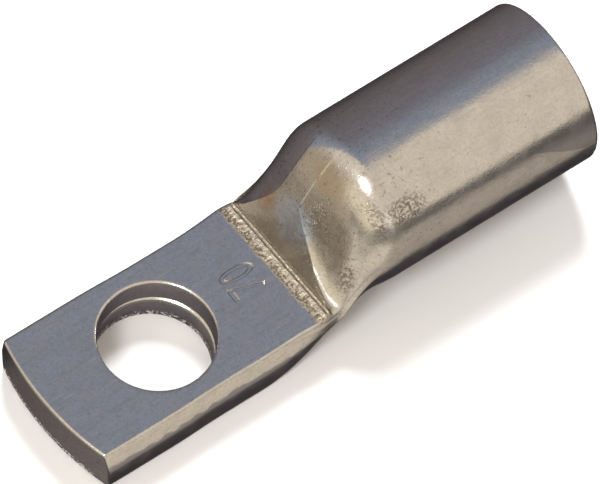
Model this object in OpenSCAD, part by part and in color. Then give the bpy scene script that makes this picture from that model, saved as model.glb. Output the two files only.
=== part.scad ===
// Tubular cable lug for a 70 mm2 copper conductor, tin plated. The narrow palm is
// pressed from the same tube as the barrel, so the whole lug is one piece of metal.
// Millimetres. The origin is on the bolt hole's axis, level with the palm's underside.
// +X runs along the lug to the open end of the barrel, and +Z is up.

/* [Barrel] */
// Outside diameter of the barrel
barrel_d = 15.5; // [14:0.1:17]
// Inside diameter of the barrel
bore_d = 11.5; // [10:0.1:12.5]
// Distance from the bolt hole to the open end
barrel_end = 41.75; // [36:0.05:60]
// Distance from the bolt hole to where the tube is fully round
barrel_start = 20.7; // [20:0.1:23]
// Height of the barrel's axis above the palm's underside
barrel_z = 8.9; // [8.2:0.05:9.6]
// Sideways offset of the barrel's axis from the palm's centre line
barrel_y = 0.3; // [-0.5:0.1:0.5]
// Rounding of the outer edge at the open end
mouth_round = 0.35; // [0.1:0.05:0.6]
// Bevel of the bore at the open end
mouth_bevel = 0.45; // [0.2:0.05:0.8]

/* [Palm] */
// Width of the palm
palm_w = 14.8; // [13.8:0.05:15.4]
// Thickness of the palm, which is two walls of the tube
palm_t = 5.6; // [5:0.1:6]
// Distance from the bolt hole to the front end
palm_front = 11.9; // [10:0.05:14]
// How far the middle of the front end stands out
front_bow = 1; // [0.5:0.05:1.5]
// Angle of the front end out of square, in degrees
front_skew = 2.6; // [0:0.1:5]
// How far the lower edge of the front end lies behind the upper edge
front_lean = 0.4; // [0:0.05:0.8]
// Radius of the long upper edges
upper_r = 0.25; // [0.2:0.05:0.6]
// Radius of the long lower edges
lower_r = 0.35; // [0.2:0.05:0.6]
// Height of the ridge along the sides, where the two halves of the tool meet
ridge_z = 2.9; // [2.5:0.05:3.1]
// How far the upper edges lie inside the ridge
upper_draft = 0.45; // [0.1:0.05:0.7]
// How far the lower edges lie inside the ridge
lower_draft = 0.15; // [0.1:0.05:0.5]

/* [Bolt hole] */
// Diameter of the bolt hole, for an M10 bolt
hole_d = 10.5; // [8.4:0.1:11]
// Drawn-in edge round the top of the hole
hole_lip = 0.25; // [0.1:0.05:0.4]
// Depth of the seam between the two pressed walls
seam_depth = 0.4; // [0.2:0.05:0.6]
// Height of the seam between the two pressed walls
seam_h = 0.5; // [0.2:0.05:0.8]

/* [Transition] */
// Where the mark of the press tool starts
mark_start = 11.85; // [11:0.05:12.5]
// Where the mark of the press tool ends and the tube rises
crease = 13.7; // [13:0.05:14.2]
// How much the mark rises along its width
mark_rise = 0.4; // [0.1:0.05:0.6]
// How far the tool squeezes the upper edges outwards
mark_spread = 0.4; // [0:0.05:0.5]
// How far the tool has pushed the metal sideways
mark_shift = 0.15; // [0:0.05:0.3]
// Angle of the press tool out of square, in degrees
tool_skew = 2.6; // [0:0.1:4]
// Where the flanks beside the crease start to rise
flank_start = 14; // [13.8:0.1:16]
// Length over which the fan above the crease narrows
fan_length = 2.7; // [2:0.1:4]
// Sideways place of the fan's far edge, above the crease
fan_far = 4.4; // [2.5:0.1:5]
// Sideways place of the fan's near edge, above the crease
fan_near = 1.5; // [-1:0.1:2]
// How far the waist is drawn in at each side
waist = 0.5; // [0:0.05:0.6]
// Distance from the bolt hole to the waist
waist_x = 16.8; // [16:0.1:18]
// Wall thickness beside the closed end of the cavity
heel_wall = 2.2; // [1.8:0.1:2.6]
// Where the cavity closes
cavity_start = 15.2; // [14.6:0.1:16.5]

/* [Hidden] */
$fn = 72;
barrel_r = barrel_d / 2;
bore_r = bore_d / 2;
wall = barrel_r - bore_r;
front_r = ((palm_w / 2) ^ 2 + front_bow ^ 2) / (2 * front_bow);
front_shift = front_r * sin(front_skew);
front_x = sqrt(front_r ^ 2 - front_shift ^ 2) - palm_front;
palm_end = 6.2;
// The loft ends this far inside its neighbours, so no two faces coincide
tuck = 0.02;
run_in = 0.5;
spread_length = 2;
// Heights between which the squeeze sets in, and the length over which the middle rises
squeeze_low = 2;
squeeze_high = 5;
lift_length = 7;
ridge_bend = 1.2;
// Angles of the barrel, above and below its axis, that the sides and lower edges run into
side_angle = 8;
belly_angle = 66;
TOP_STEPS = 10;
CORNER_STEPS = 14;
SIDE_STEPS = 6;
BELLY_STEPS = 9;
BOTTOM_STEPS = 3;

function mix(a, b, s) = a + (b - a) * s;
function clamp(v) = min(max(v, 0), 1);
// Ramp from 0 at a to 1 at b, with a soft start of width e0 and a soft end of width e1
function ramp(x, a, b, e0, e1) =
    let (u = clamp((x - a) / (b - a)), m = 1 / (1 - e0 / 2 - e1 / 2))
    u < e0 ? m * u * u / (2 * e0)
    : u < 1 - e1 ? m * (u - e0 / 2)
    : 1 - m * (1 - u) ^ 2 / (2 * e1);

// Half width of the palm at height z, widest at the ridge
function side_y(z) =
    palm_w / 2 - (z > ridge_z ? upper_draft * ((z - ridge_z) / (palm_t - ridge_z)) ^ ridge_bend
                              : lower_draft * ((ridge_z - z) / ridge_z) ^ ridge_bend);
upper_y = side_y(palm_t) - upper_r;
lower_y = side_y(0) - lower_r;
// Point of the barrel's section on one side, at angle a above its axis
function barrel_point(side, a) =
    [barrel_y + side * barrel_r * cos(a), barrel_z + barrel_r * sin(a)];

// Rise of the top, between the crease and the barrel
function top_rise(x) = ramp(x, crease, barrel_start, 0.06, 0.55);
// Rise of a flank: c is 0 at the side and 1 at the fan
function flank_rise(x, c) =
    ramp(x, mix(flank_start, crease, c ^ 2), barrel_start, mix(0.13, 0.06, c), 0.54);
function belly_rise(x) = ramp(x, palm_end, barrel_start - 0.3, 0.48, 0.37);
// Rise of the tool's mark, which fades into the rise of the top
function mark(x) = mark_rise * ramp(x, mark_start, crease, 0.4, 0.05) * (1 - top_rise(x));
// Sideways place of the fan's edge, and the angle of the barrel above that place
function fan_y(x, side) =
    mix(side * upper_y, side > 0 ? fan_far : fan_near,
        ramp(x, crease - 0.2, crease + fan_length, 0.1, 0.3));
function fan_angle(x, side) = acos(side * (fan_y(x, side) - barrel_y) / barrel_r);

// One half of the outline at x, from the middle of the top to the middle of the bottom.
// side is 1 for the half towards +Y and -1 for the other
function half_outline(x, side) =
    let (fan = fan_y(x, side), middle = (fan_y(x, 1) + fan_y(x, -1)) / 2)
    concat(
        [for (i = [0:TOP_STEPS - 1])
            let (y = mix(middle, fan, i / TOP_STEPS), d = y - barrel_y)
            mix([y, palm_t + mark(x)], [y, barrel_z + sqrt(barrel_r ^ 2 - d ^ 2)], top_rise(x))],
        [for (i = [0:CORNER_STEPS - 1])
            let (u = i / CORNER_STEPS, a = 90 * (1 - u), z = palm_t - upper_r * (1 - sin(a)),
                 y = side * (side_y(z) - upper_r * (1 - cos(a))) + (fan - side * upper_y) * (1 - u) ^ 2)
            mix([y, z + mark(x) * (1 - u)],
                barrel_point(side, mix(fan_angle(x, side), side_angle, u)), flank_rise(x, 1 - u))],
        [for (i = [0:SIDE_STEPS - 1])
            let (u = i / SIDE_STEPS, z = mix(palm_t - upper_r, lower_r, u))
            mix([side * side_y(z), z], barrel_point(side, side_angle * (1 - 2 * u)),
                mix(flank_rise(x, 0), belly_rise(x), u))],
        [for (i = [0:BELLY_STEPS - 1])
            let (u = i / BELLY_STEPS, a = 90 * u, z = lower_r * (1 - sin(a)))
            mix([side * (side_y(z) - lower_r * (1 - cos(a))), z],
                barrel_point(side, -mix(side_angle, belly_angle, u)), belly_rise(x))],
        [for (i = [0:BOTTOM_STEPS])
            let (u = i / BOTTOM_STEPS)
            mix([side * lower_y * (1 - u), 0],
                barrel_point(side, -mix(belly_angle, 90, u)), belly_rise(x))]
    );
// How much the waist, the tool's squeeze and its shift act at x, from 0 to 1
function waist_share(x) =
    ramp(x, mark_start - 3, waist_x, 0.5, 0.5)
    * (1 - ramp(x, waist_x, barrel_start, 0.5, 0.5));
function spread_share(x) = exp(-((x - mark_start - 1) / spread_length) ^ 2);
function shift_share(x) =
    ramp(x, palm_end, mark_start, 0.5, 0.5) * (1 - ramp(x, mark_start, waist_x, 0.5, 0.5));
// How much the tool's skew acts at x
function skew_share(x) =
    ramp(x, palm_end, mark_start, 0.5, 0.5)
    * (1 - ramp(x, crease + 1, barrel_start, 0.5, 0.5));
// Point p of the outline at x, moved by the waist and by the tool
function worked(x, p) =
    let (high = clamp((p.y - squeeze_low) / (squeeze_high - squeeze_low))
                * clamp(2 * abs(p.x) / palm_w),
         y = p.x * (1 - waist * waist_share(x) / (palm_w / 2))
             + sign(p.x) * mark_spread * spread_share(x) * high ^ 2
             + mark_shift * shift_share(x))
    [x - tan(tool_skew) * skew_share(x) * y, y, p.y];

// Closed outline at x, drawn in by gap
function outline(x, gap) =
    let (right = half_outline(x, 1), left = half_outline(x, -1), n = len(left),
         ring = concat(right, [for (i = [n - 2:-1:1]) left[i]]),
         c = mix([0, palm_t / 2], [barrel_y, barrel_z], clamp((x - crease) / lift_length)))
    [for (p = ring) worked(x, p - gap * (p - c) / norm(p - c))];

// Solid through a list of rings that have the same number of points
module loft(rings) {
    n = len(rings[0]);
    last = len(rings) - 1;
    points = [for (r = rings) each r];
    sides = [for (k = [0:last - 1], i = [0:n - 1])
        let (j = (i + 1) % n, a = k * n, b = a + n)
        each [[a + i, a + j, b + i], [a + j, b + j, b + i]]];
    ends = [[for (i = [n - 1:-1:0]) i], [for (i = [0:n - 1]) last * n + i]];
    polyhedron(points, concat(sides, ends));
}

// Places of the rings, closer together at the crease
function ring_places() = concat(
    [for (i = [0:4]) mix(palm_end, mark_start, i / 4)],
    [for (i = [1:4]) mix(mark_start, crease, i / 4)],
    [for (i = [1:3]) crease + 0.12 * i],
    [for (i = [1:16]) mix(crease + 0.36, barrel_start, i / 16)]
);

module neck() {
    loft(concat(
        [outline(palm_end - run_in, tuck)],
        [for (x = ring_places())
            outline(x, x > palm_end && x < barrel_start ? 0 : tuck)],
        [outline(barrel_start + run_in, tuck)]
    ));
}

// Side of the palm's section, from the end of its flat top to its flat underside
function palm_edge(side) =
    let (half = half_outline(0, side), steps = CORNER_STEPS + SIDE_STEPS + BELLY_STEPS)
    [for (i = [0:steps]) half[TOP_STEPS + i]];

// Section of the palm, in Y and Z
module palm_section() {
    near = palm_edge(-1);
    polygon(concat(palm_edge(1), [for (i = [len(near) - 1:-1:0]) near[i]]));
}

module palm() {
    intersection() {
        translate([-palm_front - 2, 0, 0])
            rotate([90, 0, 90]) linear_extrude(palm_front + 2 + palm_end) palm_section();
        union() {
            translate([front_x, front_shift, -1])
                cylinder(h = palm_t + 2, r1 = front_r - front_lean * (palm_t + 1) / palm_t,
                         r2 = front_r + front_lean / palm_t, $fn = 180);
            translate([0, -palm_w, -1]) cube([palm_end + 1, 2 * palm_w, palm_t + 2]);
        }
    }
}

module barrel() {
    translate([barrel_start, barrel_y, barrel_z]) rotate([0, 90, 0])
        rotate_extrude() {
            length = barrel_end - barrel_start;
            square([barrel_r, length - mouth_round]);
            square([barrel_r - mouth_round, length]);
            translate([barrel_r - mouth_round, length - mouth_round]) circle(mouth_round, $fn = 24);
        }
}

module bolt_hole() {
    translate([0, 0, -1]) cylinder(h = palm_t + 2, d = hole_d);
    rotate_extrude() {
        r = hole_d / 2;
        polygon([[0, palm_t / 2 - seam_h / 2], [r, palm_t / 2 - seam_h / 2],
                 [r + seam_depth, palm_t / 2], [r, palm_t / 2 + seam_h / 2],
                 [0, palm_t / 2 + seam_h / 2]]);
        difference() {
            translate([0, palm_t - hole_lip]) square([r + hole_lip, hole_lip + 1]);
            translate([r + hole_lip, palm_t - hole_lip]) circle(hole_lip, $fn = 24);
        }
    }
}

// Section of the cavity at x, an oval that closes to a slit
function cavity_ring(x) =
    let (s = ramp(x, cavity_start, barrel_start, 0.1, 0.5),
         w = mix(palm_w / 2 - heel_wall, bore_r - tuck, s),
         h = mix(0.05, bore_r - tuck, s),
         c = mix([0, palm_t / 2], [barrel_y, barrel_z], s))
    [for (i = [0:39]) let (a = -360 * i / 40) [x, c.x + w * cos(a), c.y + h * sin(a)]];

module cavity() {
    loft([for (i = [0:12]) cavity_ring(mix(cavity_start, barrel_start + 0.2, i / 12))]);
    translate([barrel_start, barrel_y, barrel_z]) rotate([0, 90, 0]) {
        cylinder(h = barrel_end - barrel_start + 1, r = bore_r);
        translate([0, 0, barrel_end - barrel_start - mouth_bevel])
            cylinder(h = mouth_bevel + 1, r1 = bore_r, r2 = bore_r + mouth_bevel + 1);
    }
}

module cable_lug() {
    color("silver")
    difference() {
        union() {
            palm();
            neck();
            barrel();
        }
        bolt_hole();
        cavity();
    }
}

cable_lug();
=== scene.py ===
"""Tin plated tubular cable lug: its dressed model, its finish and its stage.

Sizes are in millimetres until they become mesh vertices, which are in metres. The
origin is on the bolt hole's axis, level with the palm's underside, +X runs to the open
end of the barrel and +Z is up.
"""

import math
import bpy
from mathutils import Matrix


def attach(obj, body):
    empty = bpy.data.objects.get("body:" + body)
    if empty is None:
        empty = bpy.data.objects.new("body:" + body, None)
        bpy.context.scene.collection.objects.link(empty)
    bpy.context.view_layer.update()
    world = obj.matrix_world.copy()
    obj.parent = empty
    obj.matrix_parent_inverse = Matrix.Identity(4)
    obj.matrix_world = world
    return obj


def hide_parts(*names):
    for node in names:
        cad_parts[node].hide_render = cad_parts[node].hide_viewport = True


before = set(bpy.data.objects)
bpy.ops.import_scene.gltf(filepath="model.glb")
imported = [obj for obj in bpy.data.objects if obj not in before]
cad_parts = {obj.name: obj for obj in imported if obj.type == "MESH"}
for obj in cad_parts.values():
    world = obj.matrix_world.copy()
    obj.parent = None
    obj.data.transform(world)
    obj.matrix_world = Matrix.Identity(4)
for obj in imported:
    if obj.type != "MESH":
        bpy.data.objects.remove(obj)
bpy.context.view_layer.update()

from types import SimpleNamespace

import bpy
import numpy as np
from bpy.props import FloatProperty, FloatVectorProperty, PointerProperty, StringProperty
from mathutils import Matrix, Vector

bl_info = {
    "name": "Tubular cable lug",
    "version": (1, 0, 0),
    "blender": (4, 5, 0),
    "location": "3D View > Sidebar > Cable lug",
    "description": "Makes a tin plated tubular cable lug and a plain stage for it",
    "category": "Add Mesh",
}

MM = 0.001


def size(name, description, default, **more):
    """A number that the user can change, in the unit that its description or group gives."""
    return FloatProperty(name=name, description=description, default=default, **more)


def colour(name, description, default):
    """A colour that the user can change."""
    return FloatVectorProperty(name=name, description=description, default=default,
                               size=3, min=0.0, max=1.0, subtype="COLOR")


class LugSizes(bpy.types.PropertyGroup):
    """Sizes of the lug, in millimetres."""

    barrel_d: size("Barrel diameter", "Outside diameter of the barrel", 15.5)
    bore_d: size("Bore diameter", "Inside diameter of the barrel", 11.5)
    barrel_start: size("Barrel start", "Where the tube is fully round", 20.7)
    barrel_end: size("Barrel end", "From the bolt hole to the open end", 41.75)
    barrel_y: size("Barrel offset", "Sideways offset of the barrel's axis", 0.3)
    barrel_z: size("Barrel height", "Height of the barrel's axis", 8.9)
    mouth_round: size("Mouth rounding", "Rounding of the outer edge at the open end", 0.35)
    mouth_bevel: size("Mouth bevel", "Bevel of the bore at the open end", 0.45)
    palm_w: size("Palm width", "Width of the palm", 14.8)
    palm_t: size("Palm thickness", "Two walls of the tube", 5.6)
    palm_front: size("Palm front", "From the bolt hole to the front end", 11.9)
    front_bow: size("Front bow", "How far the middle of the front end stands out", 1.0)
    front_skew: size("Front skew", "Angle of the front end out of square, in degrees", 2.6)
    front_lean: size("Front lean", "How far the lower front edge lies back", 0.4)
    front_r: size("Front edge", "Rounding of the upper front edge", 0.28)
    upper_r: size("Upper edges", "Radius of the long upper edges", 0.25)
    lower_r: size("Lower edges", "Radius of the long lower edges", 0.35)
    ridge_z: size("Ridge height", "Height of the ridge along the sides", 2.9)
    upper_draft: size("Upper draft", "How far the upper edges lie inside the ridge", 0.45)
    lower_draft: size("Lower draft", "How far the lower edges lie inside the ridge", 0.15)
    hole_d: size("Bolt hole", "Diameter of the bolt hole", 10.5)
    hole_lip: size("Hole edge", "Drawn-in edge round the top of the hole", 0.25)
    wall_shift: size("Wall shift", "How far the hole in the lower wall is out of line", 0.2)
    mark_start: size("Tool mark start", "Where the press tool's mark starts", 11.85)
    crease: size("Crease", "Where the tool's mark ends and the tube rises", 13.4)
    mark_rise: size("Mark rise", "How much the mark rises along its width", 0.4)
    mark_spread: size("Mark spread", "How far the tool squeezes the edges outwards", 0.4)
    tool_skew: size("Tool skew", "Angle of the press tool out of square, in degrees", 2.6)
    flank_start: size("Flank start", "Where the flanks beside the crease rise", 14.0)
    fan_length: size("Fan length", "Length over which the fan narrows", 2.7)
    fan_far: size("Fan far edge", "Sideways place of the fan's far edge", 4.4)
    fan_near: size("Fan near edge", "Sideways place of the fan's near edge", 1.5)
    palm_end: size("Palm end", "Where the lower edges start to round off", 6.2)
    mark_shift: size("Mark shift", "How far the tool has pushed the palm sideways", 0.15)
    flare: size("Flare", "How much wider the palm is at the front, on each side", 0.15)
    waist: size("Waist", "How far the neck is drawn in at each side", 0.5)
    waist_x: size("Waist place", "Where the neck is narrowest", 16.8)
    heel_wall: size("Heel wall", "Wall beside the closed end of the cavity", 2.2)
    cavity_start: size("Cavity start", "Where the cavity closes", 15.2)
    number_x: size("Number's foot", "From the bolt hole to the foot of the number", 11.0)
    number_y: size("Number's start", "Sideways place of the number's start", -1.2)
    number_depth: size("Number's depth", "How deep the number is stamped", 0.11)
    number_turn: size("Number's turn", "Turn of the number, in degrees", -2.0)
    number: StringProperty(name="Number", description="Conductor size stamped on the palm",
                           default="70")


class LugFinish(bpy.types.PropertyGroup):
    """Colours and finish of the tin plating, with colours for painted shade, painted highlights,
    painted glints and painted reflections.
    """

    tin: colour("Tin", "Clean tin plating", (0.71, 0.68, 0.61))
    tarnish: colour("Tarnish", "Tarnished tin plating", (0.52, 0.49, 0.44))
    blush: colour("Blush", "Faint pink bloom on the plating", (0.70, 0.63, 0.60))
    # Painted reflection: a brown colour laid on the facet above the fan, for the brown that facet
    # reflects
    warm: colour("Warm bloom", "Brown bloom above the fan", (0.62, 0.50, 0.37))
    # Painted highlight: a near-white colour for an oval spot beside the shoulder's dents and for
    # glints along the burr
    painted_highlight: colour("Rubbed tin", "Tin rubbed bright on a dent's edge", (0.95, 0.93, 0.88))
    # Painted reflection: a blue colour laid on the fan, for the cool light overhead that the fan
    # reflects
    painted_blue_reflection: colour("Blue bloom", "Blue bloom on the fan", (0.66, 0.74, 0.90))
    rough: colour("Rough tin", "Rough tin in the press tool's mark", (0.54, 0.47, 0.35))
    specks: colour("Specks", "Brown specks in the plating", (0.16, 0.125, 0.085))
    # Painted shade: this dark colour is laid on faces that look down and on a line along the barrel,
    # for the shadowed floor and dark edge that the metal reflects
    painted_shade: colour("Dull tin", "Dull plating on faces that look down", (0.34, 0.325, 0.345))
    copper: colour("Copper", "Copper where the plating is worn through", (0.60, 0.42, 0.30))
    roughness: size("Roughness", "Roughness of clean plating", 0.2, min=0.02, max=1.0)


class StageColours(bpy.types.PropertyGroup):
    """Colours of the stage."""

    floor: colour("Floor", "Pale floor", (0.8, 0.8, 0.8))
    warm: colour("Warm side", "Warm side of the studio", (0.84, 0.755, 0.665))
    cool: colour("Cool top", "Cool light overhead", (0.285, 0.325, 0.44))
    dusk: colour("Dusk", "Studio between the cool top and the far side", (0.21, 0.205, 0.25))
    far: colour("Far side", "Dark far side of the studio", (0.19, 0.172, 0.195))
    near_palm: colour("Near the palm", "Tabletop that the palm's near side reflects",
                      (0.84, 0.76, 0.66))
    near_barrel: colour("Near the barrel", "Tabletop that the barrel's near side reflects",
                        (0.50, 0.445, 0.40))
    line: colour("Table edge", "Dark edge of the tabletop, far away", (0.09, 0.088, 0.09))
    close: colour("Close by", "Tabletop in front of the lug and through its hole",
                  (0.30, 0.28, 0.285))
    front: colour("Front", "Tabletop and wall far in front of the lug", (0.52, 0.44, 0.34))
    bright: colour("Light in front", "Light that the shoulder reflects from in front",
                   (0.95, 0.85, 0.68))
    shade: colour("Shade", "Tabletop in the lug's own shade", (0.10, 0.095, 0.10))


# ---------------------------------------------------------------- shape of the lug

# Steps along each stretch of half an outline, and points all round
TOP, CORNER, SIDE, BELLY, BOTTOM = 26, 48, 20, 20, 14
AROUND = 2 * (TOP + CORNER + SIDE + BELLY + BOTTOM)
RIDGE_BEND = 1.2
# Angles of the barrel, above and below its axis, that the sides and lower edges run into
SIDE_ANGLE, BELLY_ANGLE = 8, 66
# Where the bowed front end hands over to plane rings
FRONT_END = -7.0


def mix(a, b, s):
    """From a where s is 0 to b where it is 1."""
    return a + (b - a) * s


def ramp(x, a, b, e0, e1):
    """From 0 at a to 1 at b, with a soft start of width e0 and a soft end of width e1."""
    u = np.clip((x - a) / (b - a), 0.0, 1.0)
    m = 1 / (1 - e0 / 2 - e1 / 2)
    return np.where(u < e0, m * u * u / (2 * e0),
                    np.where(u < 1 - e1, m * (u - e0 / 2), 1 - m * (1 - u) ** 2 / (2 * e1)))


def bump(x, centre, width):
    """A round bump of height 1."""
    return np.exp(-((x - centre) / width) ** 2)


def side_y(s, z):
    """Half width of the palm at height z, widest at the ridge."""
    up = np.clip((z - s.ridge_z) / (s.palm_t - s.ridge_z), 0, 1)
    down = np.clip((s.ridge_z - z) / s.ridge_z, 0, 1)
    return s.palm_w / 2 - s.upper_draft * up ** RIDGE_BEND - s.lower_draft * down ** RIDGE_BEND


def top_rise(s, x):
    """Rise of the top, from 0 at the crease to 1 at the barrel."""
    return float(ramp(x, s.crease, s.barrel_start, 0.03, 0.55))


def fan_y(s, x, side):
    """Sideways place of the fan's edge."""
    flat = side * (side_y(s, s.palm_t) - s.upper_r)
    return mix(flat, s.fan_far if side > 0 else s.fan_near,
               float(ramp(x, s.crease - 0.2, s.crease + s.fan_length, 0.1, 0.3)))


def half_section(s, x, side):
    """Half of the outline at x, from the middle of the top to the middle of the bottom."""
    radius, t, ur, lr = s.barrel_d / 2, s.palm_t, s.upper_r, s.lower_r

    def tube(a):
        """Points of the round tube, at angles a above its axis."""
        a = np.radians(a)
        return np.stack([s.barrel_y + side * radius * np.cos(a),
                         s.barrel_z + radius * np.sin(a)], -1)

    def flank(c):
        """Rise of a flank: c is 0 at the side and 1 at the fan."""
        return ramp(x, mix(s.flank_start, s.crease, c ** 2), s.barrel_start,
                    mix(0.13, 0.06, c), 0.54)[:, None]

    top = top_rise(s, x)
    belly = float(ramp(x, s.palm_end, s.barrel_start - 0.3, 0.48, 0.37))
    mark = s.mark_rise * float(ramp(x, s.mark_start, s.crease, 0.4, 0.05)) * (1 - top)
    fan, middle = fan_y(s, x, side), (fan_y(s, x, 1) + fan_y(s, x, -1)) / 2
    fan_angle = math.degrees(math.acos(side * (fan - s.barrel_y) / radius))

    y = mix(middle, fan, np.arange(TOP) / TOP)
    arch = s.barrel_z + np.sqrt(radius ** 2 - (y - s.barrel_y) ** 2)
    parts = [np.stack([y, mix(t + mark, arch, top)], -1)]
    u = np.arange(CORNER) / CORNER
    a = np.pi / 2 * (1 - u)
    z = t - ur * (1 - np.sin(a))
    y = side * (side_y(s, z) - ur * (1 - np.cos(a)))
    y += (fan - side * (side_y(s, t) - ur)) * (1 - u) ** 2
    parts.append(mix(np.stack([y, z + mark * (1 - u)], -1), tube(mix(fan_angle, SIDE_ANGLE, u)),
                     flank(1 - u)))
    u = np.arange(SIDE) / SIDE
    z = mix(t - ur, lr, u)
    parts.append(mix(np.stack([side * side_y(s, z), z], -1), tube(SIDE_ANGLE * (1 - 2 * u)),
                     mix(flank(0 * u), belly, u[:, None])))
    u = np.arange(BELLY) / BELLY
    a = np.pi / 2 * u
    z = lr * (1 - np.sin(a))
    parts.append(mix(np.stack([side * (side_y(s, z) - lr * (1 - np.cos(a))), z], -1),
                     tube(-mix(SIDE_ANGLE, BELLY_ANGLE, u)), belly))
    u = np.arange(BOTTOM + 1) / BOTTOM
    y = side * (side_y(s, 0.0) - lr) * (1 - u)
    parts.append(mix(np.stack([y, 0 * u], -1), tube(-mix(BELLY_ANGLE, 90, u)), belly))
    return np.concatenate(parts)


def section(s, x):
    """Outline at x as X, Y and Z, from the middle of the top towards +Y and all round."""
    x = float(x)
    right, left = half_section(s, x, 1), half_section(s, x, -1)
    ring = np.concatenate([right, left[-2:0:-1]])
    pull = float(ramp(x, s.mark_start - 3, s.waist_x, 0.5, 0.5)
                 * (1 - ramp(x, s.waist_x, s.barrel_start, 0.5, 0.5)))
    turn = float(ramp(x, s.palm_end, s.mark_start, 0.5, 0.5)
                 * (1 - ramp(x, s.crease + 1, s.barrel_start, 0.5, 0.5)))
    y, z = ring.T
    high = np.clip((z - 2) / 3, 0, 1) * np.clip(2 * np.abs(y) / s.palm_w, 0, 1)
    y = (y * (1 - s.waist * pull / (s.palm_w / 2))
         + np.sign(y) * s.mark_spread * float(bump(x, s.mark_start + 1, 2)) * high ** 2)
    y = (y + s.mark_shift * float(ramp(x, s.palm_end, s.mark_start, 0.5, 0.5)
                                  * (1 - ramp(x, s.mark_start, s.waist_x, 0.5, 0.5)))
         + s.flare * 2 * y / s.palm_w * float(1 - ramp(x, -4, 3, 0.5, 0.5)))
    return np.column_stack([x - math.tan(math.radians(s.tool_skew)) * turn * y, y, z])


def front_face(s, y, z):
    """X of the bowed, skewed and leaning front end."""
    r = ((s.palm_w / 2) ** 2 + s.front_bow ** 2) / (2 * s.front_bow)
    shift = r * math.sin(math.radians(s.front_skew))
    middle = math.sqrt(r ** 2 - shift ** 2) - s.palm_front
    return middle - np.sqrt((r - s.front_lean * (1 - z / s.palm_t)) ** 2 - (y - shift) ** 2)


def slit(reach, y, z):
    """A closed slit of half width reach, whose upper and lower points coincide."""
    i = np.arange(AROUND)
    quarter = AROUND // 4
    folded = np.where(i <= 2 * quarter, np.minimum(i, 2 * quarter - i),
                      -np.minimum(i - 2 * quarter, AROUND - i))
    return np.stack([y + reach * folded / quarter, 0 * i + z], -1)


def ring_places(s):
    """Places of the planar rings, close together where the tool has worked."""
    return np.concatenate([
        np.arange(FRONT_END, 11.2, 0.4), np.arange(11.3, 12.85, 0.1), np.arange(12.85, 14.1, 0.04),
        np.arange(14.15, 21.2, 0.1), np.arange(21.3, 24.0, 0.3),
        np.arange(24.0, s.barrel_end - s.mouth_round - 0.2, 0.6)])


# Centre, reach along each axis and rise of each dent
DENTS = (((19.9, -2.3, 16.0), (0.9, 1.0, 1.0), 0.10), ((19.6, -5.4, 13.6), (1.6, 0.5, 0.6), 0.07),
         ((19.3, -4.2, 14.6), (0.6, 0.8, 0.8), -0.10), ((22.5, -5.2, 14.4), (1.8, 0.4, 0.5), -0.05),
         ((15.9, 4.9, 9.6), (1.2, 1.0, 1.4), -0.08), ((17.2, -5.3, 9.8), (1.4, 0.8, 1.0), 0.08))


def worked(s, ring):
    """Grooves, pinches and small dents that the press leaves in the outside."""
    p = ring.copy()
    along = ring[:, 0] + math.tan(math.radians(s.tool_skew)) * ring[:, 1]
    flat = (ring[:, 2] > 5) * np.clip((6.7 - np.abs(ring[:, 1])) / 0.5, 0, 1)
    p[:, 2] -= flat * (0.07 * bump(along, 13.12, 0.06) + 0.09 * bump(along, 13.46, 0.07)
                       - 0.04 * bump(along, 13.3, 0.08))
    middle = np.array([0, s.barrel_y, s.barrel_z])
    out = (ring - middle) * [0, 1, 1]
    out /= np.linalg.norm(out, axis=1)[:, None] + 1e-9
    for centre, radii, rise in DENTS:
        near = np.exp(-(((ring - centre) / radii) ** 2).sum(1))
        p += out * (rise * near)[:, None]
    return p


def outer_rings(s):
    """Rings from the middle of the front end, over its edge and along the outside."""
    mid, half = s.palm_t / 2, s.palm_w / 2
    outline = section(s, FRONT_END)[:, 1:]
    rings = []

    def at_front(yz, back):
        """The ring this far behind the front end's surface."""
        return np.column_stack([front_face(s, yz[:, 0], yz[:, 1]) + back, yz])

    def inset(d):
        """The palm's outline drawn in by d."""
        return (outline - [0, mid]) * [1 - d / half, 1 - d / mid] + [0, mid]

    closed = slit(half - 1.2, 0.0, mid)
    for share in (0.0, 0.3, 0.6, 0.85, 1.0):
        rings.append(at_front(mix(closed, inset(s.front_r), share), 0))
    for a in np.radians([15, 30, 45, 60, 75, 90]):
        rings.append(at_front(inset(s.front_r * (1 - math.sin(a))),
                              s.front_r * (1 - math.cos(a))))
    start = rings[-1]
    for share in (0.03, 0.08, 0.16, 0.26, 0.38, 0.5, 0.62, 0.74, 0.86):
        ring = start.copy()
        ring[:, 0] = mix(start[:, 0], FRONT_END, share)
        rings.append(ring)
    rings += [section(s, x) for x in ring_places(s)]
    return [worked(s, ring) for ring in rings]


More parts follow.
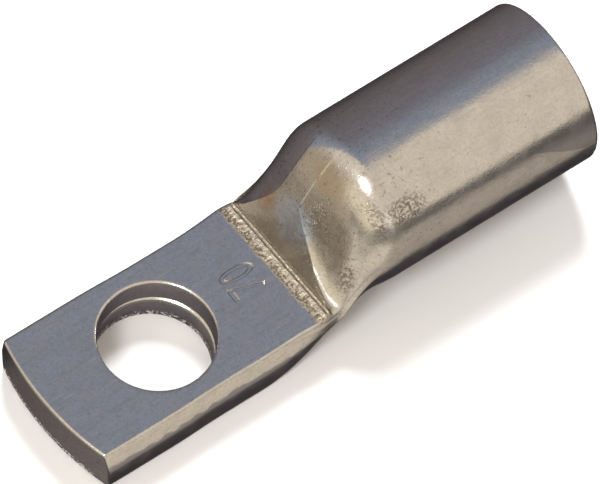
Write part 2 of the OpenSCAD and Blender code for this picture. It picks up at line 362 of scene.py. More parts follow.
def mouth_and_cavity(s):
    """Rings round the mouth and back through the bore to where the cavity closes."""
    axis = [s.barrel_y, s.barrel_z]
    full = section(s, s.barrel_start + 2)[:, 1:] - axis
    way = full / np.linalg.norm(full, axis=1)[:, None]
    radius, bore, end = s.barrel_d / 2, s.bore_d / 2, s.barrel_end

    def turned(x, r):
        """A round ring about the barrel's axis."""
        return np.column_stack([np.full(AROUND, x), way * r + axis])

    rings = [turned(end - s.mouth_round - 0.05, radius)]
    for a in np.radians([0, 18, 36, 54, 72, 90]):
        rings.append(turned(end - s.mouth_round * (1 - math.sin(a)),
                            radius - s.mouth_round * (1 - math.cos(a))))
    rings.append(turned(end, (radius + bore + s.mouth_bevel) / 2))
    for a in np.radians([0, 22, 45, 68, 90]):
        rings.append(turned(end - s.mouth_bevel * (1 - math.cos(a)),
                            bore + s.mouth_bevel * (1 - math.sin(a))))
    for x in np.arange(end - s.mouth_bevel - 0.3, s.barrel_start, -1.2):
        rings.append(turned(x, bore))
    turn = np.pi / 2 - 2 * np.pi * np.arange(AROUND) / AROUND
    for x in np.linspace(s.barrel_start, s.cavity_start, 24):
        width = float(ramp(x, s.cavity_start, s.barrel_start, 0.1, 0.5))
        reach = [mix(s.palm_w / 2 - s.heel_wall, bore, width), mix(0.0, bore, width)]
        even = np.column_stack([np.cos(turn), np.sin(turn)]) * reach
        yz = mix(even, way * reach, width) + [mix(0, s.barrel_y, width),
                                              mix(s.palm_t / 2, s.barrel_z, width)]
        rings.append(np.column_stack([np.full(AROUND, x), yz]))
    rings[-1][:, 1:] = slit(s.palm_w / 2 - s.heel_wall, 0.0, s.palm_t / 2)
    return rings


# ---------------------------------------------------------------- modelling helpers

# Spacing of the tube's rings before they are pressed
PITCH = 0.2

def select_none():
    """Leaves edit mode, with nothing selected."""
    if bpy.context.mode != "OBJECT":
        bpy.ops.object.mode_set(mode="OBJECT")
    bpy.ops.object.select_all(action="DESELECT")


def only(obj):
    """Makes this object the only selected one, and the active one."""
    select_none()
    obj.select_set(True)
    bpy.context.view_layer.objects.active = obj
    return obj


def named(name):
    """The object just added, with its name."""
    obj = bpy.context.object
    obj.name = name
    obj.data.name = name
    return obj


def tube_of_rings(name, s, rings):
    """A round tube, extruded ring by ring, whose rings are then pressed to shape."""
    select_none()
    bpy.ops.mesh.primitive_circle_add(vertices=AROUND, radius=s.barrel_d / 2 * MM,
                                      fill_type="NOTHING", location=(0, 0, 0),
                                      rotation=(0, math.pi / 2, 0))
    obj = named(name)
    bpy.ops.object.transform_apply(location=True, rotation=True, scale=True)
    bpy.ops.object.mode_set(mode="EDIT")
    bpy.ops.mesh.select_all(action="SELECT")
    for _ in range(len(rings) - 1):
        bpy.ops.mesh.extrude_region_move(TRANSFORM_OT_translate={"value": (PITCH * MM, 0, 0)})
    bpy.ops.object.mode_set(mode="OBJECT")
    press(obj, rings)
    return obj


def press(obj, rings):
    """Moves every point of the tube to its place on the pressed ring."""
    mesh = obj.data
    co = np.zeros(len(mesh.vertices) * 3)
    mesh.vertices.foreach_get("co", co)
    co = co.reshape(-1, 3)
    ring = np.rint((co[:, 0] - co[:, 0].min()) / (PITCH * MM)).astype(int)
    turn = np.arctan2(co[:, 1], co[:, 2]) / (2 * np.pi) * AROUND
    place = np.rint(turn).astype(int) % AROUND
    if len(mesh.vertices) != len(rings) * AROUND or ring.max() != len(rings) - 1:
        raise RuntimeError("the tube has not the rings that it needs")
    table = np.array(rings) * MM
    mesh.vertices.foreach_set("co", table[ring, place].ravel())
    mesh.update()


def cut(obj, tool):
    """Takes the tool's solid out of the object."""
    only(obj)
    mod = obj.modifiers.new("cut", "BOOLEAN")
    mod.operation = "DIFFERENCE"
    mod.object = tool
    mod.solver = "EXACT"
    bpy.ops.object.modifier_apply(modifier=mod.name)
    bpy.data.objects.remove(tool, do_unlink=True)


def bolt_hole_tool(s):
    """Punch through both walls: its lower half is out of line, and a groove parts them."""
    r, mid, lip, out = s.hole_d / 2, s.palm_t / 2, s.hole_lip, -s.wall_shift
    start = s.palm_t + 0.6
    select_none()
    bpy.ops.mesh.primitive_circle_add(vertices=144, radius=r * MM, fill_type="NOTHING",
                                      location=(0, 0, start * MM))
    tool = named("hole_tool")
    bpy.ops.object.transform_apply(location=True)
    bpy.ops.object.mode_set(mode="EDIT")
    bpy.ops.mesh.select_all(action="SELECT")
    steps = [(r + lip + 0.4, start, 0.0), (r + lip, s.palm_t, 0.0)]
    for a in np.radians([20, 40, 60, 80, 90]):
        steps.append((r + lip * (1 - math.sin(a)), s.palm_t - lip * (1 - math.cos(a)), 0.0))
    steps += [(r, mid + 0.22, 0.0), (r + 0.1, mid + 0.16, 0.0), (r + 0.4, mid + 0.05, 0.0),
              (r + 0.4, mid - 0.05, out), (r + 0.16, mid - 0.12, out),
              (r + 0.04, mid - 0.24, out), (r, mid - 0.45, out),
              (r, 0.25, out), (r + 0.1, -0.02, out), (r + 0.1, -0.6, out)]
    now_r, now_z, now_x = r, start, 0.0
    for k, (to_r, to_z, to_x) in enumerate(steps):
        if k:
            bpy.ops.mesh.extrude_region_move(TRANSFORM_OT_translate={
                "value": ((to_x - now_x) * MM, 0, (to_z - now_z) * MM)})
        ratio = to_r / now_r
        bpy.ops.transform.resize(value=(ratio, ratio, 1),
                                 center_override=(to_x * MM, 0, to_z * MM))
        now_r, now_z, now_x = to_r, to_z, to_x
    bpy.ops.mesh.select_all(action="SELECT")
    bpy.ops.mesh.select_non_manifold()
    bpy.ops.mesh.edge_face_add()
    bpy.ops.mesh.select_all(action="SELECT")
    bpy.ops.mesh.normals_make_consistent(inside=False)
    bpy.ops.object.mode_set(mode="OBJECT")
    return tool


# Height of the stamp's figures and their spacing, narrowness and stroke
FIGURE_HEIGHT, FIGURE_SPACE, FIGURE_NARROW, STROKE = 4.75, 1.15, 0.62, -0.06
# Half the height of the stamp's shank, the draft at its ends, and its reach below its middle
SHANK, DRAFT, STAMP_REACH = 0.3, 0.14, 0.42


def number_tool(s):
    """The stamp of the conductor size: its figures with drafted sides, ready to cut."""
    select_none()
    bpy.ops.object.text_add(location=(0, 0, 0), rotation=(0, 0, 0))
    stamp = named("number_tool")
    stamp.data.body = s.number
    stamp.data.size = FIGURE_HEIGHT * MM
    stamp.data.space_character = FIGURE_SPACE
    stamp.data.offset = STROKE * MM
    stamp.data.extrude = SHANK * MM
    stamp.data.bevel_depth = DRAFT * MM
    stamp.data.bevel_resolution = 0
    bpy.ops.object.convert(target="MESH")
    bpy.ops.transform.resize(value=(FIGURE_NARROW, 1, 1))
    bpy.ops.object.transform_apply(location=True, rotation=True, scale=True)
    low = np.min([v.co for v in stamp.data.vertices], axis=0)
    bpy.ops.object.mode_set(mode="EDIT")
    bpy.ops.mesh.select_all(action="SELECT")
    bpy.ops.mesh.remove_doubles(threshold=1e-7)
    bpy.ops.mesh.normals_make_consistent(inside=False)
    bpy.ops.transform.translate(value=(-low[0], -low[1], 0))
    bpy.ops.transform.rotate(value=-math.radians(90 + s.number_turn), orient_axis="Z",
                             center_override=(0, 0, 0))
    bpy.ops.transform.translate(value=(s.number_x * MM, s.number_y * MM,
                                       (s.palm_t - s.number_depth + STAMP_REACH) * MM))
    bpy.ops.object.mode_set(mode="OBJECT")
    return stamp


# ---------------------------------------------------------------- node helpers


def put(tree, socket, value):
    """Links a socket to the input, or sets the input to a plain value."""
    if isinstance(value, bpy.types.NodeSocket):
        tree.links.new(value, socket)
    else:
        socket.default_value = value


def calc(tree, operation, *values):
    """Output of a Math node."""
    node = tree.nodes.new("ShaderNodeMath")
    node.operation = operation
    for socket, value in zip(node.inputs, values):
        put(tree, socket, value)
    return node.outputs[0]


def product(tree, *values):
    """All the values multiplied."""
    out = values[0]
    for value in values[1:]:
        out = calc(tree, "MULTIPLY", out, value)
    return out


def soft(tree, value, low, high):
    """0 below low, 1 above high, with a soft change between them."""
    node = tree.nodes.new("ShaderNodeMapRange")
    node.interpolation_type = "SMOOTHSTEP"
    put(tree, node.inputs["Value"], value)
    put(tree, node.inputs["From Min"], low)
    put(tree, node.inputs["From Max"], high)
    return node.outputs["Result"]


def within(tree, value, low, high, edge):
    """1 between low and high, and 0 outside them."""
    return product(tree, soft(tree, value, low - edge, low + edge),
                   calc(tree, "SUBTRACT", 1.0, soft(tree, value, high - edge, high + edge)))


def between(tree, a, b, share):
    """Value a where share is 0, and value b where it is 1."""
    node = tree.nodes.new("ShaderNodeMapRange")
    put(tree, node.inputs["Value"], share)
    put(tree, node.inputs["To Min"], a)
    put(tree, node.inputs["To Max"], b)
    return node.outputs["Result"]


def blend(tree, share, a, b):
    """Colour a where share is 0, and colour b where it is 1."""
    node = tree.nodes.new("ShaderNodeMix")
    node.data_type = "RGBA"
    put(tree, node.inputs["Factor"], share)
    for name, value in (("A", a), ("B", b)):
        socket = [i for i in node.inputs if i.name == name and i.type == "RGBA"][0]
        put(tree, socket, value if isinstance(value, bpy.types.NodeSocket) else (*value, 1))
    return [o for o in node.outputs if o.type == "RGBA"][0]


def noise(tree, vector, scale, detail=2.0):
    """Noise from 0 to 1, mostly close to 0.5."""
    node = tree.nodes.new("ShaderNodeTexNoise")
    put(tree, node.inputs["Vector"], vector)
    node.inputs["Scale"].default_value = scale
    node.inputs["Detail"].default_value = detail
    return node.outputs["Fac"]


def stretched(tree, vector, turn, scale):
    """The vector turned and scaled, for patterns that run one way."""
    node = tree.nodes.new("ShaderNodeMapping")
    put(tree, node.inputs["Vector"], vector)
    node.inputs["Rotation"].default_value = [math.radians(a) for a in turn]
    node.inputs["Scale"].default_value = scale
    return node.outputs[0]


def slanted(tree, x, y):
    """Share of the far side in a direction; what lies in front counts as near."""
    behind = calc(tree, "MINIMUM", calc(tree, "SUBTRACT", x, 0.33), 0.0)
    return calc(tree, "MULTIPLY_ADD", behind, 0.8, y)


def millimetres(tree, coord):
    """Place on the piece in millimetres, as a vector and as X, Y and Z."""
    scale = tree.nodes.new("ShaderNodeVectorMath")
    scale.operation = "SCALE"
    scale.inputs["Scale"].default_value = 1000.0
    tree.links.new(coord.outputs["Object"], scale.inputs[0])
    split = tree.nodes.new("ShaderNodeSeparateXYZ")
    tree.links.new(scale.outputs[0], split.inputs[0])
    return scale.outputs[0], split.outputs[0], split.outputs[1], split.outputs[2]


def bumped(tree, height):
    """Normal of a relief whose height is in millimetres."""
    node = tree.nodes.new("ShaderNodeBump")
    node.inputs["Strength"].default_value = 1.0
    node.inputs["Distance"].default_value = MM
    put(tree, node.inputs["Height"], height)
    return node.outputs[0]


def new_group(name, inputs, output):
    """An empty node group with value inputs, a Vector input and one value output."""
    group = bpy.data.node_groups.new(name, "ShaderNodeTree")
    group.interface.new_socket("Vector", in_out="INPUT", socket_type="NodeSocketVector")
    for label, value in inputs:
        socket = group.interface.new_socket(label, in_out="INPUT", socket_type="NodeSocketFloat")
        socket.default_value = value
    group.interface.new_socket(output, in_out="OUTPUT", socket_type="NodeSocketFloat")
    start, end = group.nodes.new("NodeGroupInput"), group.nodes.new("NodeGroupOutput")
    return group, start, end


def use_group(tree, group, vector, **values):
    """Output of a node group placed with its own values."""
    node = tree.nodes.new("ShaderNodeGroup")
    node.node_tree = group
    put(tree, node.inputs["Vector"], vector)
    for name, value in values.items():
        put(tree, node.inputs[name], value)
    return node.outputs[0]


# ---------------------------------------------------------------- finish


def specks_group():
    """Small ragged specks; Amount runs from 0 for none to 1 for a dense cover."""
    group, start, end = new_group("specks", (("Amount", 0.5), ("Scale", 3.0)), "Mask")
    node = group.nodes.new("ShaderNodeTexNoise")
    group.links.new(start.outputs["Vector"], node.inputs["Vector"])
    group.links.new(start.outputs["Scale"], node.inputs["Scale"])
    node.inputs["Detail"].default_value = 3.0
    node.inputs["Roughness"].default_value = 0.6
    low = calc(group, "MULTIPLY_ADD", start.outputs["Amount"], -0.22, 0.68)
    out = soft(group, node.outputs["Fac"], low, calc(group, "ADD", low, 0.07))
    group.links.new(out, end.inputs[0])
    return group


def grain_group():
    """Fine grain of the plating, from 0 to 1."""
    group, start, end = new_group("grain", (), "Height")
    vector = start.outputs["Vector"]
    fine = noise(group, vector, 5.0, 3.0)
    coarse = noise(group, vector, 1.4, 2.0)
    group.links.new(calc(group, "MULTIPLY_ADD", coarse, 0.9, fine), end.inputs[0])
    return group


def scratches_group():
    """Thin scratches that run roughly along the lug; Amount sets how many there are."""
    group, start, end = new_group("scratches", (("Amount", 0.5),), "Mask")
    total = None
    for turn, scale in ((4, (0.10, 4.5, 4.5)), (-13, (0.16, 6.0, 6.0)), (27, (0.3, 7.0, 7.0))):
        line = noise(group, stretched(group, start.outputs["Vector"], (0, 0, turn), scale), 1.0, 1.0)
        low = calc(group, "MULTIPLY_ADD", start.outputs["Amount"], -0.08, 0.76)
        mask = soft(group, line, low, calc(group, "ADD", low, 0.04))
        total = mask if total is None else calc(group, "MAXIMUM", total, mask)
    group.links.new(total, end.inputs[0])
    return group


def spot(tree, vector, centre, radii, wobble):
    """A patch with a ragged edge round centre: 1 inside and 0 outside."""
    shift = tree.nodes.new("ShaderNodeVectorMath")
    shift.operation = "SUBTRACT"
    put(tree, shift.inputs[0], vector)
    shift.inputs[1].default_value = centre
    shrink = tree.nodes.new("ShaderNodeVectorMath")
    shrink.operation = "DIVIDE"
    put(tree, shrink.inputs[0], shift.outputs[0])
    shrink.inputs[1].default_value = radii
    far = tree.nodes.new("ShaderNodeVectorMath")
    far.operation = "LENGTH"
    put(tree, far.inputs[0], shrink.outputs[0])
    ragged = calc(tree, "MULTIPLY_ADD", wobble, 1.2, far.outputs["Value"])
    return calc(tree, "SUBTRACT", 1.0, soft(tree, ragged, 1.2, 1.9))


def surface(tree):
    """Places on the lug in millimetres, the way its faces look, and the noises they share."""
    coord = tree.nodes.new("ShaderNodeTexCoord")
    place, x, y, z = millimetres(tree, coord)
    facing = tree.nodes.new("ShaderNodeSeparateXYZ")
    tree.links.new(coord.outputs["Normal"], facing.inputs[0])
    reach = calc(tree, "SQRT", calc(tree, "MULTIPLY_ADD", x, x, product(tree, y, y)))
    return SimpleNamespace(
        place=place, x=x, y=y, z=z, forward=facing.outputs[0], up=facing.outputs[2],
        wobble=noise(tree, place, 0.9, 3.0), fine=noise(tree, place, 2.6, 3.0),
        tiny=noise(tree, place, 4.0, 3.0), outside=soft(tree, reach, 6.0, 6.6))


def tool_mark(tree, at, specks):
    """The press tool's mark on the top: its rough band, its two grooves and its pits."""
    s = bpy.context.scene.lug_sizes
    along = calc(tree, "MULTIPLY_ADD", at.y, math.tan(math.radians(s.tool_skew)), at.x)
    along = calc(tree, "MULTIPLY_ADD", calc(tree, "SUBTRACT", at.fine, 0.5), 0.5, along)
    top = product(tree, soft(tree, at.z, 5.2, 5.45), soft(tree, at.up, 0.5, 0.75))
    row = product(tree, within(tree, along, 12.1, 12.65, 0.15), top)
    lines = calc(tree, "MAXIMUM", within(tree, along, 13.04, 13.16, 0.04),
                 within(tree, along, 13.44, 13.6, 0.05))
    pits = use_group(tree, specks, at.place, Amount=calc(tree, "MULTIPLY_ADD", row, 0.6, 0.4),
                     Scale=3.0)
    return SimpleNamespace(band=product(tree, within(tree, along, 11.95, 13.55, 0.12), top),
                           groove=product(tree, lines, top), pits=pits)


def specks_and_dent_shade(tree, at, mark, specks):
    """Specks on the neck, three patches of dense specks beside the shoulder's dents that also paint
    shade into those dents, and the tool mark's pits.
    """
    neck = within(tree, at.x, 14.2, 25.5, 2.0)
    neck = product(tree, neck, soft(tree, at.z, 6.5, 8.0), soft(tree, at.up, 0.1, 0.35))
    worn = use_group(tree, specks, at.place, Amount=calc(tree, "MULTIPLY_ADD", neck, 0.3, 0.12),
                     Scale=2.6)
    # Patches round the shoulder's dents: dense specks, and painted shade that darkens the dents
    dent_shade_patches = [spot(tree, at.place, centre, radii, at.fine) for centre, radii in (
        ((19.35, -4.75, 14.1), (0.6, 1.5, 1.8)), ((22.0, -5.4, 14.0), (2.0, 1.2, 1.5)),
        ((15.9, -5.6, 8.2), (0.8, 0.9, 1.8)))]
    dent_shade_patch = calc(tree, "MAXIMUM", calc(tree, "MAXIMUM", dent_shade_patches[0], dent_shade_patches[1]), dent_shade_patches[2])
    dense = use_group(tree, specks, at.place, Amount=0.9, Scale=3.2)
    dense = calc(tree, "MULTIPLY_ADD", soft(tree, at.tiny, 0.42, 0.55), 0.6,
                 product(tree, dense, 0.2))
    brown = calc(tree, "MAXIMUM", product(tree, worn, 0.42), product(tree, dent_shade_patch, dense))
    brown = calc(tree, "MAXIMUM", brown, product(tree, mark.band, mark.pits, 0.8))
    return calc(tree, "MAXIMUM", brown, product(tree, mark.groove, 0.85))


def painted_shade_mask(tree, at):
    """Painted shade on faces that look down and on the palm below its ridge, and a painted dark
    reflection in a line along the barrel's near side, with its tail at the end.
    """
    s = bpy.context.scene.lug_sizes
    ragged = calc(tree, "SUBTRACT", at.wobble, 0.5)
    # Painted shade: faces that look down, and on the palm all that lies below the ridge
    under = calc(tree, "SUBTRACT", 0.08, calc(tree, "MULTIPLY_ADD", ragged, 0.25, at.up))
    below = calc(tree, "MULTIPLY_ADD", ragged, 1.2, calc(tree, "SUBTRACT", s.ridge_z + 0.7, at.z))
    under = between(tree, product(tree, below, 0.3), under, soft(tree, at.x, 13.0, 17.0))
    faces = product(tree, soft(tree, under, -0.05, 0.06), at.outside,
                    soft(tree, at.forward, -0.7, -0.4))
    # Painted dark reflection: a line round the barrel's near side, which widens downwards towards
    # the open end
    turn = calc(tree, "ARCTAN2", calc(tree, "SUBTRACT", at.z, s.barrel_z),
                calc(tree, "SUBTRACT", s.barrel_y, at.y))
    turn = calc(tree, "MULTIPLY_ADD", turn, 180 / math.pi, product(tree, ragged, 3.0))
    tail = product(tree, soft(tree, at.x, 34.0, 41.0), 22.0)
    painted_dark_line = product(tree, soft(tree, at.x, 20.0, 26.0), soft(tree, at.y, 0.0, -3.0),
                    soft(tree, turn, calc(tree, "SUBTRACT", 28.5, tail),
                         calc(tree, "SUBTRACT", 30.0, tail)),
                    calc(tree, "SUBTRACT", 1.0, soft(tree, turn, 31.0, 33.0)))
    return calc(tree, "MAXIMUM", faces, product(tree, painted_dark_line, 0.75))


def burr(tree, at):
    """The ragged lower rim of the bolt hole and of the front end."""
    front = product(tree, at.outside, soft(tree, at.x, -10.9, -10.5))
    return product(tree, calc(tree, "SUBTRACT", 1.0, soft(tree, at.z, 0.5, 1.1)),
                   calc(tree, "SUBTRACT", 1.0, front))


def plating_colour(tree, at, tone, mark, brown, painted_shade, painted_glints):
    """Colour of the plating: each layer covers the ones before it by its share."""
    finish = bpy.context.scene.lug_finish
    hue = noise(tree, at.place, 0.8, 2.0)
    # Painted reflection: a brown patch on the facet above the fan
    warm = spot(tree, at.place, (18.0, 0.4, 14.4), (0.9, 1.9, 1.6), at.fine)
    # Painted reflection: a blue patch on the fan
    cool = spot(tree, at.place, (15.35, 1.0, 9.1), (2.4, 2.3, 2.0), at.fine)
    streak = noise(tree, stretched(tree, at.place, (0, 0, 8), (0.35, 2.2, 2.2)), 1.0, 4.0)
    # Painted highlight: an oval spot of near-white colour on the shoulder's near side
    painted_highlight = spot(tree, at.place, (20.2, -5.6, 13.8), (0.26, 1.0, 1.1), at.fine)
    bare = product(tree, spot(tree, at.place, (15.0, 4.5, 8.4), (1.3, 1.1, 1.2), at.fine),
                   soft(tree, at.fine, 0.3, 0.5))
    result = finish.tin
    for share, layer in (
            (product(tree, tone, 0.35), finish.tarnish),
            (product(tree, soft(tree, at.tiny, 0.45, 0.62), 0.4), finish.tarnish),
            (product(tree, soft(tree, hue, 0.5, 0.68), 0.35), finish.blush),
            # painted brown reflection above the fan
            (product(tree, warm, 0.55), finish.warm),
            # painted blue reflection on the fan
            (product(tree, cool, 0.85), finish.painted_blue_reflection),
            (product(tree, soft(tree, streak, 0.5, 0.68), 0.3), finish.tarnish),
            # painted highlight on the shoulder's oval spot
            (product(tree, painted_highlight, 0.8), finish.painted_highlight),
            (product(tree, mark.band, 0.75), finish.rough),
            # brown specks, and painted shade in the patches round the shoulder's dents
            (brown, finish.specks),
            (product(tree, bare, 0.8), finish.copper),
            # painted glints along the burr
            (product(tree, painted_glints, 0.9), finish.painted_highlight),
            # painted shade on faces that look down, and the painted dark line along the barrel
            (product(tree, painted_shade, 0.9), finish.painted_shade)):
        result = blend(tree, share, result, layer)
    return result


def plating_relief(tree, at, mark, rim):
    """Height in millimetres: grain, scratches, the rough band of the tool and the burr."""
    bumpy = calc(tree, "SUBTRACT", at.fine, 0.5)
    height = product(tree, noise(tree, at.place, 0.35, 2.0), 0.02)
    for value, rise in ((use_group(tree, grain_group(), at.place), 0.008),
                        (use_group(tree, scratches_group(), at.place, Amount=0.55), -0.003),
                        (product(tree, bumpy, mark.band), 0.10),
                        (product(tree, bumpy, rim), 0.5)):
        height = calc(tree, "MULTIPLY_ADD", value, rise, height)
    return height


def plating_roughness(tree, at, tone, mark, brown, painted_shade):
    """Roughness: more where the plating is tarnished, specked or pressed rough, and where shade is
    painted.
    """
    shine = spot(tree, at.place, (19.85, -2.2, 16.0), (0.6, 0.8, 0.6), at.fine)
    result = bpy.context.scene.lug_finish.roughness
    for value, more in ((soft(tree, tone, 0.3, 0.9), 0.06), (brown, 0.2), (mark.band, 0.22),
                        (painted_shade, 0.1), (shine, 0.22)):
        result = calc(tree, "MULTIPLY_ADD", value, more, result)
    return result


def tin_material():
    """Bright tin plate with what pressing, handling and age have done to it, and with painted shade,
    painted highlights, painted glints and painted reflections laid in its colour.
    """
    mat = bpy.data.materials.new("tin_plate")
    mat.use_nodes = True
    tree = mat.node_tree
    shader = tree.nodes["Principled BSDF"]
    at, specks = surface(tree), specks_group()
    tone = soft(tree, noise(tree, at.place, 0.55, 4.0), 0.35, 0.7)
    mark = tool_mark(tree, at, specks)
    brown = specks_and_dent_shade(tree, at, mark, specks)
    # Mask of painted shade on faces that look down, and of the painted dark line along the barrel
    painted_shade = painted_shade_mask(tree, at)
    rim = burr(tree, at)
    # Painted glints: specks along the burr get a near-white colour that shines like caught light
    painted_glints = product(tree, rim, soft(tree, at.tiny, 0.5, 0.6))
    put(tree, shader.inputs["Base Color"],
        plating_colour(tree, at, tone, mark, brown, painted_shade, painted_glints))
    put(tree, shader.inputs["Roughness"], plating_roughness(tree, at, tone, mark, brown, painted_shade))
    put(tree, shader.inputs["Normal"], bumped(tree, plating_relief(tree, at, mark, rim)))
    # The painted glints are made less metallic, so that they show white
    put(tree, shader.inputs["Metallic"], calc(tree, "MULTIPLY_ADD", painted_glints, -0.8, 1.0))
    shader.inputs["Specular Tint"].default_value = (0.3, 0.28, 0.3, 1)
    return mat


# ---------------------------------------------------------------- operators


class LUG_OT_body(bpy.types.Operator):
    """Press the lug from a round tube and punch its bolt hole"""

    bl_idname = "cable_lug.body"
    bl_label = "Lug"
    bl_options = {"REGISTER", "UNDO"}

    def execute(self, context):
        s = context.scene.lug_sizes
        rings = outer_rings(s) + mouth_and_cavity(s)
        lug = tube_of_rings("pressed_lug", s, rings)
        only(lug)
        bpy.ops.object.mode_set(mode="EDIT")
        bpy.ops.mesh.select_all(action="SELECT")
        bpy.ops.mesh.remove_doubles(threshold=1e-7)
        bpy.ops.mesh.normals_make_consistent(inside=False)
        bpy.ops.object.mode_set(mode="OBJECT")
        punch, stamp = bolt_hole_tool(s), number_tool(s)
        only(punch)
        stamp.select_set(True)
        bpy.ops.object.join()
        cut(lug, punch)
        only(lug)
        bpy.ops.object.shade_smooth_by_angle(angle=math.radians(40))
        lug.data.materials.clear()
        lug.data.materials.append(tin_material())
        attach(lug, "root")
        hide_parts("cable_lug")
        return {"FINISHED"}


# Sizes of the stage, in metres: the floor lies a hair below the lug
FLOOR_SIZE = 3.0
FLOOR_Z, SURROUNDINGS_Z = -0.00001, -0.000004
# What the lamps aim at
AIM = Vector((0.015, 0, 0.005))
# The camera's turn, as an axis times an angle, the place of the origin before it (to the
# right, down and ahead), and its lens in millimetres
CAMERA_TURN = (2.5462688, -0.8042758, 0.2995676)
CAMERA_AIM = (-0.01273675, 0.01082344, 1.44356761)
CAMERA_LENS = 1000


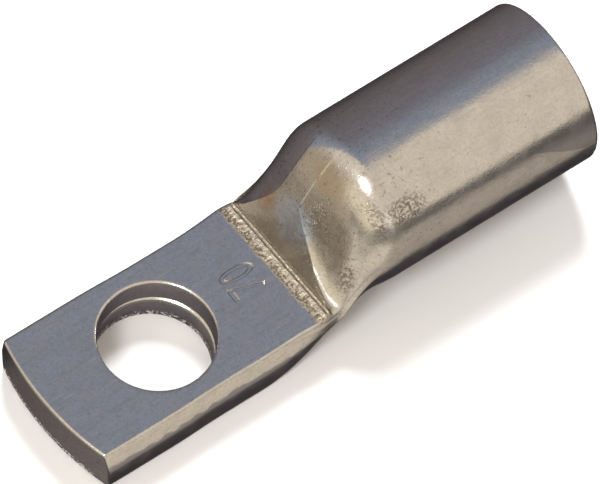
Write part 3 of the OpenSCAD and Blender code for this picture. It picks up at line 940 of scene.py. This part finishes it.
class LUG_OT_stage(bpy.types.Operator):
    """Make the pale floor, the soft studio light and the camera"""

    bl_idname = "cable_lug.stage"
    bl_label = "Stage"
    bl_options = {"REGISTER", "UNDO"}

    def execute(self, context):
        c = context.scene.lug_stage
        self.floor(c)
        self.surroundings(c)
        self.world(c)
        self.lamps()
        self.camera()
        context.scene.view_settings.view_transform = "Standard"
        return {"FINISHED"}

    def floor(self, c):
        """Plain pale floor that takes the lug's shadow."""
        select_none()
        bpy.ops.mesh.primitive_plane_add(size=FLOOR_SIZE, location=(0, 0, FLOOR_Z))
        floor = named("floor")
        mat = bpy.data.materials.new("floor_paint")
        mat.use_nodes = True
        shader = mat.node_tree.nodes["Principled BSDF"]
        shader.inputs["Base Color"].default_value = (*c.floor, 1)
        shader.inputs["Roughness"].default_value = 0.9
        shader.inputs["Specular IOR Level"].default_value = 0.1
        floor.data.materials.append(mat)

    def world(self, c):
        """Studio walls: warm to the near side and in front, cool overhead, dark beyond."""
        world = bpy.data.worlds.new("studio")
        bpy.context.scene.world = world
        world.use_nodes = True
        tree = world.node_tree
        coord = tree.nodes.new("ShaderNodeTexCoord")
        split = tree.nodes.new("ShaderNodeSeparateXYZ")
        tree.links.new(coord.outputs["Generated"], split.inputs[0])
        x, y, z = split.outputs
        across = slanted(tree, x, y)
        low = calc(tree, "SUBTRACT", 1.0, soft(tree, z, 0.25, 0.6))
        front = blend(tree, soft(tree, y, 0.2, 0.05), c.front, c.bright)
        warm = blend(tree, product(tree, soft(tree, x, -0.45, -0.75), low), c.warm, front)
        edge = calc(tree, "SUBTRACT", 1.0, soft(tree, z, 0.02, 0.09))
        warm = blend(tree, product(tree, edge, soft(tree, y, -0.5, -0.8)), warm, c.line)
        cool = blend(tree, soft(tree, across, 0.3, 0.65), c.cool, c.dusk)
        cool = blend(tree, soft(tree, across, 0.65, 1.0), cool, c.far)
        back = tree.nodes["Background"]
        put(tree, back.inputs["Color"], blend(tree, soft(tree, across, 0.0, 0.09), warm, cool))

    def surroundings(self, c):
        """Tabletop that only the metal reflects: dark close to the lug and far away."""
        select_none()
        bpy.ops.mesh.primitive_plane_add(size=FLOOR_SIZE, location=(0, 0, SURROUNDINGS_Z))
        top = named("surroundings")
        mat = bpy.data.materials.new("surroundings")
        mat.use_nodes = True
        tree = mat.node_tree
        tree.nodes.remove(tree.nodes["Principled BSDF"])
        glow = tree.nodes.new("ShaderNodeEmission")
        place, x, y, z = millimetres(tree, tree.nodes.new("ShaderNodeTexCoord"))
        reach = tree.nodes.new("ShaderNodeVectorMath")
        reach.operation = "LENGTH"
        put(tree, reach.inputs[0], place)
        reach = reach.outputs["Value"]
        # Near side: the lug's own shade, wider beside the barrel, and beyond it the table
        neck = soft(tree, x, 11.0, 20.0)
        gap = calc(tree, "SUBTRACT", -7.5, y)
        shade = soft(tree, gap, between(tree, 1.0, 5.0, neck), between(tree, 2.6, 8.5, neck))
        near = blend(tree, neck, c.near_palm, c.near_barrel)
        near = blend(tree, product(tree, soft(tree, x, 44.0, 58.0), 0.75), near, c.shade)
        near = blend(tree, soft(tree, reach, 60.0, 120.0), near, c.line)
        near = blend(tree, shade, c.shade, near)
        # In front and far side, which go on where the studio's walls start
        span = calc(tree, "MAXIMUM", reach, 6.0)
        side = slanted(tree, calc(tree, "DIVIDE", x, span), calc(tree, "DIVIDE", y, span))
        front = blend(tree, soft(tree, x, -14.0, -30.0), c.close, c.front)
        away = blend(tree, soft(tree, side, 0.02, 0.3), front, c.far)
        close = calc(tree, "SUBTRACT", 1.0, soft(tree, reach, 12.0, 34.0))
        away = blend(tree, product(tree, close, soft(tree, y, 6.0, 9.0)), away, c.shade)
        put(tree, glow.inputs["Color"], blend(tree, soft(tree, y, -8.0, -7.0), near, away))
        tree.links.new(glow.outputs[0], tree.nodes["Material Output"].inputs["Surface"])
        mat.cycles.emission_sampling = "NONE"
        top.data.materials.append(mat)
        top.visible_camera = False
        top.visible_diffuse = False
        top.visible_shadow = False

    def lamps(self):
        """One lamp from behind for the floor and its shadow, one in front for the glint."""
        self.lamp("floor_lamp", (0.20, 0.26, 0.52), 0.16, 4.2, glossy=False)
        self.lamp("glint_lamp", (-0.575, -0.21, 0.78), 0.24, 5.0)

    def lamp(self, name, place, width, power, glossy=True):
        """A square white lamp aimed at the lug."""
        select_none()
        bpy.ops.object.light_add(type="AREA", location=place)
        lamp = bpy.context.object
        lamp.name = name
        lamp.data.size = width
        lamp.data.energy = power
        lamp.rotation_euler = (AIM - Vector(place)).to_track_quat("-Z", "Y").to_euler()
        lamp.visible_glossy = glossy

    def camera(self):
        """A long lens, far off, that looks down on the lug from its front end."""
        turn = Vector(CAMERA_TURN)
        look = Matrix.Rotation(turn.length, 3, turn.normalized())
        place = -(look.transposed() @ Vector(CAMERA_AIM))
        select_none()
        bpy.ops.object.camera_add(location=place)
        camera = bpy.context.object
        camera.name = "camera"
        # A camera looks along its own -Z, with +Y up
        flip = Matrix(((1, 0, 0), (0, -1, 0), (0, 0, -1)))
        camera.matrix_world = Matrix.Translation(place) @ (look.transposed() @ flip).to_4x4()
        camera.data.sensor_width = 36
        camera.data.lens = CAMERA_LENS
        camera.data.clip_start = 0.1
        camera.data.clip_end = 20
        bpy.context.scene.camera = camera


class LUG_PT_panel(bpy.types.Panel):
    """Lists what makes up the cable lug"""

    bl_idname = "LUG_PT_panel"
    bl_label = "Cable lug"
    bl_space_type = "VIEW_3D"
    bl_region_type = "UI"
    bl_category = "Cable lug"

    def draw(self, context):
        for kind in (LUG_OT_body, LUG_OT_stage):
            self.layout.operator(kind.bl_idname)
        for group in (context.scene.lug_sizes, context.scene.lug_finish, context.scene.lug_stage):
            box = self.layout.box()
            for name in group.__annotations__:
                box.prop(group, name)


CLASSES = (LugSizes, LugFinish, StageColours, LUG_OT_body, LUG_OT_stage, LUG_PT_panel)


def register():
    """Adds the add-on's classes, and its settings to the scene."""
    for kind in CLASSES:
        bpy.utils.register_class(kind)
    bpy.types.Scene.lug_sizes = PointerProperty(type=LugSizes)
    bpy.types.Scene.lug_finish = PointerProperty(type=LugFinish)
    bpy.types.Scene.lug_stage = PointerProperty(type=StageColours)


def unregister():
    """Takes away what register added."""
    del bpy.types.Scene.lug_stage
    del bpy.types.Scene.lug_finish
    del bpy.types.Scene.lug_sizes
    for kind in reversed(CLASSES):
        bpy.utils.unregister_class(kind)


def main():
    """Makes the lug and its stage."""
    register()
    bpy.ops.cable_lug.body()
    bpy.ops.cable_lug.stage()


if __name__ == "__main__":
    main()
